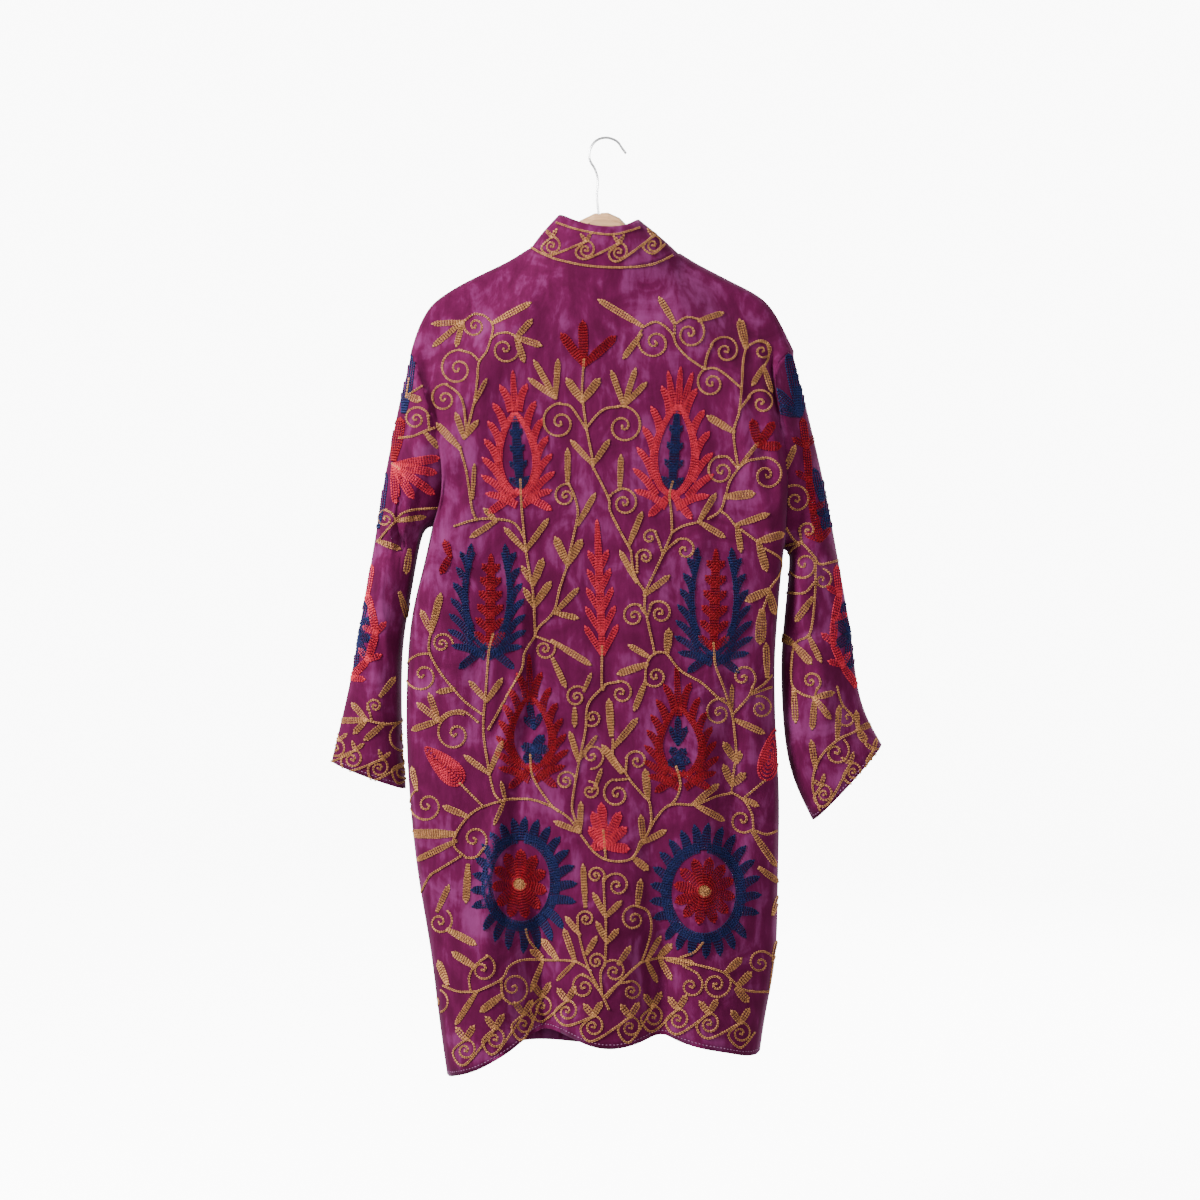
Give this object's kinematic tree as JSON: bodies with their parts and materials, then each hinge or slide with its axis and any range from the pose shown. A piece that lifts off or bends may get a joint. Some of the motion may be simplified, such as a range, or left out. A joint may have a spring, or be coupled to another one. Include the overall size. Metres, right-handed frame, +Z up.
{
  "type": "velvet jacket on a wooden hanger",
  "caption": "Long straight velvet jacket with a stand collar and wide sleeves, hung on a wooden hanger with a wire hook; soft folds at the hem.",
  "frame": {"origin": "underside of the hook's top, where the rail or nail bears", "axes": "+Z up, +X to the wearer's left, +Y out of the jacket's back, so that the fronts face -Y"},
  "size_m": [0.6647, 0.1427, 1.125],
  "materials": {
    "velvet": "cotton velvet with a worn purple nap",
    "collar_velvet": "the same velvet, on the collar",
    "wood": "satin tan wood",
    "wire": "bright wire"
  },
  "bodies": {
    "root": {"back": "velvet", "front_left": "velvet", "front_right": "velvet", "sleeve_left": "velvet", "sleeve_right": "velvet", "collar": "collar_velvet", "hanger_wood": "wood", "hanger_hook": "wire"}
  },
  "joints": []
}
